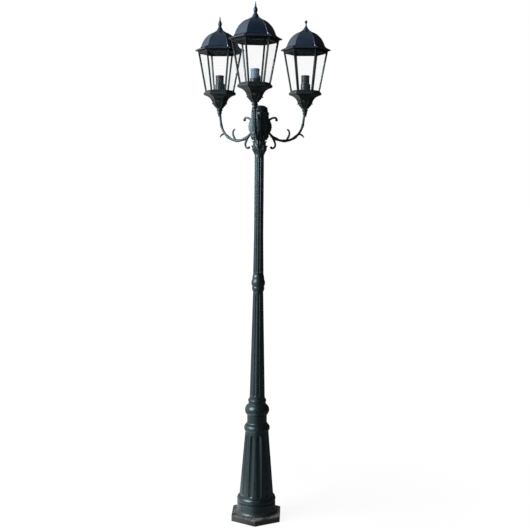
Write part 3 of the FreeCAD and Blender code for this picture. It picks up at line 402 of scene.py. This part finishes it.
def bar_along(line, radii, sides):
    """A round bar along a line in the XZ plane, with radii spread evenly and rounded ends."""
    rings = []
    last = len(line) - 1
    for i, point in enumerate(line):
        way = (line[min(i + 1, last)] - line[max(i - 1, 0)]).normalized()
        side = Vector((0, 1, 0))
        up = way.cross(side)
        share = i / last * (len(radii) - 1)
        k = min(int(share), len(radii) - 2)
        r = radii[k] + (radii[k + 1] - radii[k]) * (share - k)
        rings.append([point + side * (math.cos(a) * r) + up * (math.sin(a) * r) for a in angles(sides)])
    first_way = (line[0] - line[1]).normalized()
    last_way = (line[-1] - line[-2]).normalized()
    first_dome = domes(rings[0], line[0], first_way, radii[0])
    last_dome = domes(rings[-1], line[-1], last_way, radii[-1])
    return rings_to_part(first_dome[::-1] + rings + last_dome)


def domes(ring, centre, way, r):
    """Shrinking rings that round off a bar's end."""
    made = []
    for angle in (30, 58, 80):
        a = math.radians(angle)
        made.append([centre + (p - centre) * math.cos(a) + way * (r * math.sin(a)) for p in ring])
    return made


def lathed(profile, sides):
    """A turned part from (radius, height) points."""
    rings = []
    for r, z in profile:
        rings.append([Vector((r * math.cos(a), r * math.sin(a), z)) for a in angles(sides)])
    return rings_to_part(rings)


def leaf(path, half_width, lobes, thickness=0.0016, wrap=0.35):
    """A cast leaf with +X outwards: it follows (reach, height) points and has lobed edges and veins."""
    rows, cols = 26, 10
    vein = 0.0011
    line = smooth_line([Vector((r, 0, z)) for r, z in path], 12)
    front = []
    back = []
    for i in range(rows + 1):
        s = i / rows
        at = s * (len(line) - 1)
        k = min(int(at), len(line) - 2)
        point = line[k].lerp(line[k + 1], at - k)
        way = (line[k + 1] - line[k]).normalized()
        normal = Vector((way.z, 0, -way.x))
        body = math.sin(math.pi * min(1.0, 0.16 + 0.84 * s)) ** 0.55 if s < 0.999 else 0.04
        lobe = 1.0 + 0.17 * abs(math.sin(math.pi * lobes * s)) - 0.12
        width = half_width * max(0.05, body) * lobe
        for side in range(cols + 1):
            t = side / cols * 2 - 1
            drop = wrap * width * t * t
            side_veins = math.cos(lobes * 2 * math.pi * (s - 0.10 * abs(t)))
            ridge = vein * math.exp(-((t / 0.16) ** 2)) + 0.45 * vein * side_veins
            spot = point + Vector((0, t * width, 0)) + normal * (ridge - drop)
            front.append(spot)
            back.append(spot - normal * thickness)
    wide = cols + 1
    faces = []
    shift = len(front)
    for i in range(rows):
        for j in range(cols):
            a, b, c, d = i * wide + j, i * wide + j + 1, (i + 1) * wide + j + 1, (i + 1) * wide + j
            faces.append((a, d, c, b))
            faces.append((shift + a, shift + b, shift + c, shift + d))
    rim = list(range(wide)) + [i * wide + cols for i in range(1, rows + 1)]
    rim += [rows * wide + j for j in range(cols - 1, -1, -1)] + [i * wide for i in range(rows - 1, 0, -1)]
    for a, b in zip(rim, rim[1:] + rim[:1]):
        faces.append((a, b, shift + b, shift + a))
    return front + back, faces


# -------------------------------------------------------------------------------------- post ornament

def capital_leaves(materials):
    """Three rows of eight leaves round the capital, with curling tips."""
    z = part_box("capital")[0].z
    tall = [(0.0216, z + 0.003), (0.0264, z + 0.013), (0.0296, z + 0.025), (0.0314, z + 0.034),
            (0.0332, z + 0.0385), (0.0344, z + 0.0355)]
    small = [(0.0216, z + 0.001), (0.0242, z + 0.009), (0.0280, z + 0.017), (0.0304, z + 0.0215),
             (0.0310, z + 0.0195)]
    upper = [(0.0274, z + 0.032), (0.0286, z + 0.044), (0.0296, z + 0.053), (0.0308, z + 0.0575),
             (0.0316, z + 0.0555)]
    parts = []
    for i in range(8):
        parts.append(placed(leaf(tall, 0.0088, 4), outwards(45 * i)))
        parts.append(placed(leaf(small, 0.0062, 3), outwards(45 * i + 22.5)))
        parts.append(placed(leaf(upper, 0.0085, 3), outwards(45 * i + 22.5)))
    piece("capital_leaves", parts, materials, "post", "post_paint")


def hub_ornament(materials):
    """Leaves at the hub's foot between the arms and a beaded band under its cap."""
    low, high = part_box("arm_hub")
    z = low.z
    hanging = [(0.0335, z + 0.040), (0.0352, z + 0.028), (0.0345, z + 0.015), (0.0318, z + 0.006),
               (0.0322, z + 0.001)]
    parts = []
    for azimuth in ARM_AZIMUTHS.values():
        for offset in (42, 60, 78):
            parts.append(placed(leaf(hanging, 0.0060, 3, thickness=0.0022), outwards(azimuth + offset)))
    bead_z, bead_circle_r = high.z - 0.0125, 0.0352
    bead_profile = [(0.0002, -0.0016), (0.0012, -0.0011), (0.0017, 0.0), (0.0012, 0.0011), (0.0002, 0.0016)]
    for i in range(36):
        parts.append(placed(lathed(bead_profile, 8), outwards(10 * i + 5, bead_circle_r, bead_z)))
    piece("hub_ornament", parts, materials, "post", "post_paint")


def hub_cap_button(materials):
    """A small button on top of the hub's domed cap."""
    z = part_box("hub_cap")[1].z
    button = [(0.0075, z - 0.0035), (0.0078, z - 0.0020), (0.0064, z - 0.0008), (0.0040, z - 0.0003),
              (0.0006, z - 0.0002)]
    piece("hub_cap_button", [lathed(button, 32)], materials, "post", "post_paint")


def arm_line():
    """The arm's centre line in its own plane: its arc, then its lean up to the seat."""
    centre = Vector((0.121, 0, 1.836))
    radius = 0.099
    points = []
    for angle in range(225, 353, 4):
        a = math.radians(angle)
        points.append(centre + Vector((math.cos(a), 0, math.sin(a))) * radius)
    arc_end = points[-1]
    lean = math.radians(8.0)
    for step in (0.010, 0.022, 0.034):
        points.append(arc_end + Vector((math.sin(lean), 0, math.cos(lean))) * step)
    return points


def sheath(line, start, end, r_low, r_high, petals):
    """A cast leaf sheath round the arm between two points of its line, ending in petals."""
    rings = []
    span = end - start
    sides = 24
    for i in range(9):
        share = i / 8
        ring = []
        for a in angles(sides):
            reach = share * (1.0 - 0.30 * (0.5 - 0.5 * math.cos(petals * a)) * share)
            place = start + reach * span
            k = min(int(place), len(line) - 2)
            point = line[k].lerp(line[k + 1], place - k)
            way = (line[k + 1] - line[k]).normalized()
            side = Vector((0, 1, 0))
            up = way.cross(side)
            r = r_low + (r_high - r_low) * math.sin(share * math.pi * 0.62)
            ring.append(point + (side * math.cos(a) + up * math.sin(a)) * r)
        rings.append(ring)
    return rings_to_part(rings)


def arm_ornament(name, azimuth, materials):
    """Sheaths where the scrolls leave the arm, a ringed seat and ribs across the plate."""
    line = arm_line()
    parts = [
        sheath(line, 2.5, 7.0, 0.0050, 0.0074, 4),
        sheath(line, 8.5, 13.5, 0.0050, 0.0070, 4),
        sheath(line, 17.0, 21.5, 0.0050, 0.0070, 4),
        sheath(line, 27.5, 31.0, 0.0050, 0.0066, 4),
    ]
    seat_z = 1.873
    seat_reach = 0.2267
    ring = [(0.0072, -0.0235), (0.0080, -0.0220), (0.0082, -0.0205), (0.0072, -0.0190), (0.0078, -0.0150),
            (0.0095, -0.0115), (0.0101, -0.0095), (0.0104, -0.0060), (0.0104, -0.0020), (0.0098, -0.0004)]
    parts.append(placed(lathed(ring, 32), Matrix.Translation((seat_reach, 0, seat_z))))
    plate_z = 1.798
    plate_half_h = 0.036
    plate_r = 0.0405
    plate_bulge = 0.0165
    rib_pitch = 0.0074
    for i in range(-4, 5):
        z = plate_z + rib_pitch * i + rib_pitch / 2
        bulge = plate_bulge * (1 - ((z - plate_z) / plate_half_h) ** 2)
        root = plate_r + bulge * 0.30
        tip = plate_r + bulge - 0.0006
        ends = [Vector((root, side, z + 0.0022)) for side in (-0.0096, 0.0096)]
        rib = smooth_line([ends[0], Vector((tip, 0.0, z - 0.0010)), ends[1]], 8)
        parts.append(across_bar(rib, 0.0027))
    moved = [placed(p, outwards(azimuth)) for p in parts]
    piece("arm_ornament_" + name, moved, materials, "post", "post_paint")


def across_bar(line, r):
    """A thin bar along a line that runs mostly sideways, thinner at its ends."""
    rings = []
    last = len(line) - 1
    for i, point in enumerate(line):
        way = (line[min(i + 1, last)] - line[max(i - 1, 0)]).normalized()
        side = way.cross(Vector((0, 0, 1))).normalized()
        up = side.cross(way)
        fade = 1.0 - 0.45 * abs(2 * i / last - 1) ** 3
        rings.append([point + (side * math.cos(a) + up * math.sin(a)) * r * fade for a in angles(10)])
    return rings_to_part(rings)


# ----------------------------------------------------------------------------------- lantern ornament

def bell_leaves(name, materials):
    """Six long and six short leaves round the bell, with tips that turn out."""
    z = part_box("cup_" + name)[0].z
    path = [(0.0136, z + 0.0132), (0.0176, z + 0.0206), (0.0236, z + 0.0282), (0.0286, z + 0.0355),
            (0.0308, z + 0.0415), (0.0330, z + 0.0452), (0.0350, z + 0.0455), (0.0354, z + 0.0436)]
    small = [(0.0162, z + 0.0132), (0.0204, z + 0.0202), (0.0272, z + 0.0280), (0.0310, z + 0.0325),
             (0.0326, z + 0.0328), (0.0330, z + 0.0315)]
    long_leaf = leaf(path, 0.0100, 4, thickness=0.002, wrap=0.10)
    parts = [placed(long_leaf, outwards(60 * i)) for i in range(6)]
    short_leaf = leaf(small, 0.0052, 3, thickness=0.002, wrap=0.45)
    parts += [placed(short_leaf, outwards(60 * i + 30)) for i in range(6)]
    lantern_piece("bell_leaves", name, parts, materials, "lantern", "lantern_paint")


def tray_bead(name, materials):
    """A rounded moulding along each side of the tray's edge."""
    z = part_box("tray_" + name)[0].z + 0.0065
    corner_r = 0.0738
    parts = six_sided_bar(corner_r, z, 0.0014)
    lantern_piece("tray_bead", name, parts, materials, "lantern", "lantern_paint")


def six_sided_bar(corner_r, z, r):
    """Six thin bars along the sides of a level hexagon whose flat sides face azimuth 0, 60, ..."""
    parts = []
    flat_r = corner_r * math.cos(math.radians(30))
    for i in range(6):
        line = [Vector((flat_r, corner_r * (j / 8 - 0.5), z)) for j in range(9)]
        parts.append(placed(sideways_bar(line, r), outwards(60 * i)))
    return parts


def sideways_bar(line, r):
    """A thin bar along a line that runs along Y, with rounded ends."""
    rings = []
    for point in line:
        rings.append([point + Vector((math.cos(a), 0, math.sin(a))) * r for a in angles(10)])
    way = (line[-1] - line[0]).normalized()
    rings = domes(rings[0], line[0], -way, r)[::-1] + rings + domes(rings[-1], line[-1], way, r)
    return rings_to_part(rings)


def cage_beads(name, materials):
    """A rounded bead down each corner bar and along the fascia's foot and top."""
    low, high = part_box("cage_" + name)
    foot_r, top_r = 0.066, 0.100
    parts = []
    for i in range(6):
        line = [Vector((foot_r, 0, low.z)).lerp(Vector((top_r, 0, high.z)), j / 12) for j in range(13)]
        corner = bar_along([p + Vector((-0.0012, 0, 0)) for p in line], [0.0024, 0.0028], 12)
        parts.append(placed(corner, outwards(60 * i + 30)))
    fascia = high.z - 0.011
    share = (fascia - low.z) / (high.z - low.z)
    parts += six_sided_bar(foot_r + (top_r - foot_r) * share - 0.0004, fascia + 0.0015, 0.0016)
    parts += six_sided_bar(top_r - 0.0012, high.z - 0.0028, 0.0018)
    lantern_piece("cage_beads", name, parts, materials, "lantern", "lantern_paint")


def roof_curve(z_dome):
    """The roof's corner line as (corner radius, height), from the eave to the neck."""
    shares = [(1.0, 0.0), (0.75, 0.147), (0.655, 0.365), (0.535, 0.59), (0.365, 0.78), (0.205, 0.888),
              (0.075, 0.947)]
    neck_r, overhang, dome_h = 0.021, 0.0917, 0.085
    points = [Vector((neck_r + overhang * share, 0, z_dome + dome_h * rise)) for share, rise in shares]
    return points + [Vector((neck_r, 0, z_dome + dome_h))]


def roof_ribs(name, materials):
    """Rolled hips down the roof's six corners, an eave bead, a dome bead and a ring under the finial."""
    low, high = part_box("roof_" + name)
    eave_r, dome_foot_r = 0.1112, 0.0900
    line = smooth_line(roof_curve(low.z + 0.004), 8)
    hip = [p + Vector((-0.0010, 0, -0.0004)) for p in line]
    parts = [placed(bar_along(hip, [0.0022, 0.0020, 0.0017], 10), outwards(60 * i + 30)) for i in range(6)]
    parts += six_sided_bar(eave_r, low.z + 0.0022, 0.0015)
    parts += six_sided_bar(dome_foot_r, low.z + 0.0170, 0.0016)
    ring_z = high.z
    ring = [(0.0150, ring_z - 0.0040), (0.0202, ring_z - 0.0028), (0.0212, ring_z - 0.0010),
            (0.0204, ring_z + 0.0008), (0.0170, ring_z + 0.0016)]
    parts.append(lathed(ring, 40))
    lantern_piece("roof_ribs", name, parts, materials, "roof", "roof_paint")


def holder_mouldings(name, materials):
    """Collar, grip ribs and the side cover of the lamp holder."""
    low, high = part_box("holder_body_" + name)
    sleeve_slot = "holder_pale" if name == "front" else "holder_plastic"
    sleeve_r = 0.0178
    top = high.z
    collar = [(sleeve_r, -0.0100), (0.0190, -0.0092), (0.0193, -0.0080), (0.0193, -0.0022), (0.0186, -0.0008),
              (0.0165, -0.0002)]
    parts = [lathed([(r, top + dz) for r, dz in collar], 48)]
    for i in range(24):
        rib = [Vector((sleeve_r, 0, z)) for z in (low.z + 0.003, low.z + 0.015, top - 0.011)]
        parts.append(placed(bar_along(rib, [0.0008, 0.0008], 6), outwards(15 * i)))
    lantern_piece("holder_ribs", name, parts, materials, "lantern", sleeve_slot)
    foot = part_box("holder_base_" + name)[0].z
    cover = [(0.0052, 0.0005), (0.0060, 0.0030), (0.0060, 0.0310), (0.0048, 0.0345), (0.0010, 0.0355)]
    cover_azimuth = 95.0
    side = Matrix.Translation((0.0190, 0, foot)) @ Matrix.Diagonal((0.75, 1.5, 1, 1))
    bump = placed(placed(lathed(cover, 24), side), outwards(cover_azimuth - LANTERN_YAWS[name]))
    lantern_piece("holder_cover", name, [bump], materials, "lantern", "holder_plastic")


def screw_marks(name, materials):
    """A raised cross on each roof screw's pan head."""
    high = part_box("roof_screws_" + name)[1]
    first_azimuth, screw_circle_r, cross_turn = 30.0, 0.090, 20
    parts = []
    for i in range(3):
        place = outwards(first_azimuth + 120 * i, screw_circle_r, high.z)
        for turn in (0, 90):
            arm = [Vector((0, -0.0026, 0.0001)), Vector((0, 0, 0.0005)), Vector((0, 0.0026, 0.0001))]
            spin = Matrix.Rotation(math.radians(turn + cross_turn), 4, "Z")
            parts.append(placed(placed(across_bar(arm, 0.0005), spin), place))
    lantern_piece("roof_screw_marks", name, parts, materials, "roof", "zinc_steel")


def build_ornament(materials):
    """All the added pieces."""
    capital_leaves(materials)
    hub_ornament(materials)
    hub_cap_button(materials)
    for name, azimuth in ARM_AZIMUTHS.items():
        arm_ornament(name, azimuth, materials)
        bell_leaves(name, materials)
        tray_bead(name, materials)
        cage_beads(name, materials)
        roof_ribs(name, materials)
        holder_mouldings(name, materials)
        screw_marks(name, materials)


# -------------------------------------------------------------------------------------- floor and light

def floor():
    """A pale floor that keeps the post's shadow and reads white to the camera where it is lit. To glossy rays
    it glows on its left and near the post: painted light for the reflections on the post.
    """
    mesh = bpy.data.meshes.new("floor")
    half = 60.0
    corners = [(-half, -half, 0), (half, -half, 0), (half, half, 0), (-half, half, 0)]
    mesh.from_pydata(corners, [], [(0, 1, 2, 3)])
    made = bpy.data.objects.new("floor", mesh)
    bpy.context.scene.collection.objects.link(made)
    material = bpy.data.materials.new("floor")
    material.use_nodes = True
    nodes, links = material.node_tree.nodes, material.node_tree.links
    shader = nodes["Principled BSDF"]
    shader.inputs["Base Color"].default_value = (0.15, 0.15, 0.15, 1)
    shader.inputs["Roughness"].default_value = 0.9
    shader.inputs["Specular IOR Level"].default_value = 0.1
    shader.inputs["Emission Color"].default_value = (1, 1, 1, 1)
    path = nodes.new("ShaderNodeLightPath")
    place = nodes.new("ShaderNodeTexCoord")
    reach = nodes.new("ShaderNodeVectorMath")
    reach.operation = "LENGTH"
    links.new(place.outputs["Object"], reach.inputs[0])
    glow = smooth_range(nodes, links, reach.outputs["Value"], (0.5, 3.0), (0.90, 1.0))
    side = nodes.new("ShaderNodeSeparateXYZ")
    links.new(place.outputs["Object"], side.inputs[0])
    # Painted light: a glow seen only in reflections, on the floor's left and near the post.
    far_left = smooth_range(nodes, links, side.outputs["X"], (0.1, -1.8), (0.02, 0.66))
    near_left = smooth_range(nodes, links, side.outputs["X"], (0.02, -0.15), (0.0, 1.0))
    near_post = smooth_range(nodes, links, reach.outputs["Value"], (1.1, 0.5), (0.0, 1.0))
    glossy_glow = maximum(nodes, links, far_left, product(nodes, links, near_left, near_post))
    seen = maximum(nodes, links, path.outputs["Is Camera Ray"], path.outputs["Is Transmission Ray"])
    plain = product(nodes, links, seen, glow)
    gloss = product(nodes, links, path.outputs["Is Glossy Ray"], glossy_glow)
    links.new(maximum(nodes, links, plain, gloss), shader.inputs["Emission Strength"])
    mesh.materials.append(material)


def sky():
    """White to the camera and through glass; for gloss, a bright left and a dim right side; soft fill."""
    world = bpy.data.worlds.new("studio")
    bpy.context.scene.world = world
    world.use_nodes = True
    nodes, links = world.node_tree.nodes, world.node_tree.links
    background = nodes["Background"]
    path = nodes.new("ShaderNodeLightPath")
    place = nodes.new("ShaderNodeTexCoord")
    parts = nodes.new("ShaderNodeSeparateXYZ")
    links.new(place.outputs["Generated"], parts.inputs[0])
    leftness = product(nodes, links, parts.outputs["X"], -0.8)
    skyness = product(nodes, links, parts.outputs["Z"], 0.28)
    total = nodes.new("ShaderNodeMath")
    links.new(leftness, total.inputs[0])
    links.new(skyness, total.inputs[1])
    side = smooth_range(nodes, links, total.outputs[0], (0.05, 0.85), (0.036, 1.0))
    white = maximum(nodes, links, path.outputs["Is Camera Ray"], path.outputs["Is Transmission Ray"])
    gloss = product(nodes, links, path.outputs["Is Glossy Ray"], side)
    seen = maximum(nodes, links, white, gloss)
    fill = product(nodes, links, path.outputs["Is Diffuse Ray"], 0.24)
    links.new(maximum(nodes, links, seen, fill), background.inputs["Strength"])
    background.inputs["Color"].default_value = (1, 1, 1, 1)


def smooth_range(nodes, links, value, span, levels):
    """A value taken smoothly from one span to the two levels."""
    node = nodes.new("ShaderNodeMapRange")
    node.interpolation_type = "SMOOTHSTEP"
    node.inputs["From Min"].default_value, node.inputs["From Max"].default_value = span
    node.inputs["To Min"].default_value, node.inputs["To Max"].default_value = levels
    links.new(value, node.inputs["Value"])
    return node.outputs["Result"]


def maximum(nodes, links, first, second):
    """The larger of two values."""
    node = nodes.new("ShaderNodeMath")
    node.operation = "MAXIMUM"
    links.new(first, node.inputs[0])
    links.new(second, node.inputs[1])
    return node.outputs[0]


def product(nodes, links, first, second):
    """Two values multiplied, the second of which may be a plain number."""
    node = nodes.new("ShaderNodeMath")
    node.operation = "MULTIPLY"
    links.new(first, node.inputs[0])
    if isinstance(second, float):
        node.inputs[1].default_value = second
    else:
        links.new(second, node.inputs[1])
    return node.outputs[0]


def soft_box(name, place, aim, size, power):
    """A square area lamp that looks at a point."""
    data = bpy.data.lights.new(name, "AREA")
    data.size = size
    data.energy = power
    lamp = bpy.data.objects.new(name, data)
    lamp.location = place
    lamp.rotation_euler = (Vector(aim) - Vector(place)).to_track_quat("-Z", "Y").to_euler()
    bpy.context.scene.collection.objects.link(lamp)


def lights():
    """A large soft key from the front left and a weak fill from the front."""
    soft_box("key", (-3.4, -2.2, 3.0), (0, 0, 1.2), 3.0, 215.0)
    soft_box("fill", (0.9, -4.5, 2.2), (0, 0, 1.2), 2.5, 5.0)


photo_camera()
finishes = make_materials()
dress_nodes(finishes)
build_ornament(finishes)
floor()
sky()
lights()
bpy.context.scene.view_settings.view_transform = "Standard"
